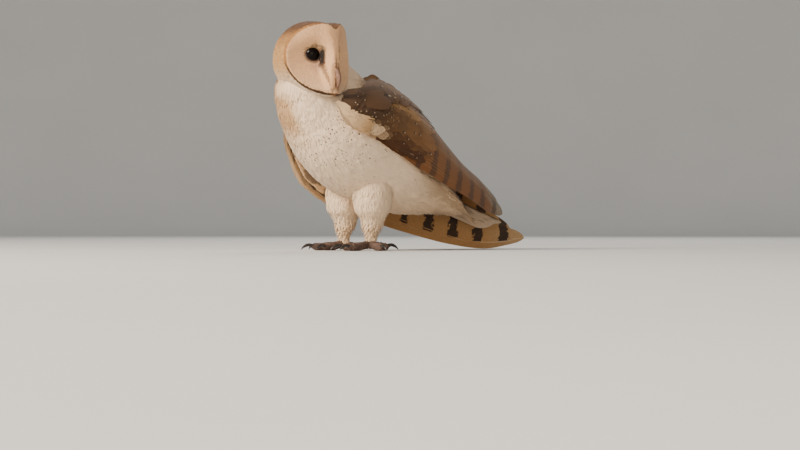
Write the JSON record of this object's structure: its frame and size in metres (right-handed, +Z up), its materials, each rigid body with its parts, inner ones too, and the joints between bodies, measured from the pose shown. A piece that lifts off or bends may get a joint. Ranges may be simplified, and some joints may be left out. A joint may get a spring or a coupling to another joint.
{
  "type": "barn owl",
  "caption": "Life-size standing barn owl with folded wings, head turned over its left shoulder, standing on its toes on a level surface; a still display animal.",
  "frame": {"origin": "On the floor under the middle of the bounding box seen from above.", "axes": "+Z up; -Y the way the body heads, with the tail towards +Y; +X the owl's left, which its face looks along."},
  "size_m": [0.1374, 0.379, 0.248],
  "materials": {
    "eye": "wet, glossy, black",
    "bill": "smooth horn",
    "head_plumage": "soft short feathers",
    "body_plumage": "soft fluffy feathers",
    "leg_plumage": "short soft feathers",
    "wing_plumage": "laid vanes, speckled and barred",
    "tail_plumage": "laid vanes, barred",
    "toe_skin": "dry scaly skin",
    "claw": "polished dark horn"
  },
  "bodies": {
    "root": {"bill_lower": "bill", "bill_upper": "bill", "claw_left_hind": "claw", "claw_left_inner": "claw", "claw_left_middle": "claw", "claw_left_outer": "claw", "claw_right_hind": "claw", "claw_right_inner": "claw", "claw_right_middle": "claw", "claw_right_outer": "claw", "eye_left": "eye", "eye_right": "eye", "head": "head_plumage", "leg_left": "leg_plumage", "leg_right": "leg_plumage", "neck": "body_plumage", "tail": "tail_plumage", "toe_left_hind": "toe_skin", "toe_left_inner": "toe_skin", "toe_left_middle": "toe_skin", "toe_left_outer": "toe_skin", "toe_right_hind": "toe_skin", "toe_right_inner": "toe_skin", "toe_right_middle": "toe_skin", "toe_right_outer": "toe_skin", "trunk": "body_plumage", "wing_left_coverts": "wing_plumage", "wing_left_primaries": "wing_plumage", "wing_left_secondaries": "wing_plumage", "wing_right_coverts": "wing_plumage", "wing_right_primaries": "wing_plumage", "wing_right_secondaries": "wing_plumage"}
  },
  "joints": []
}
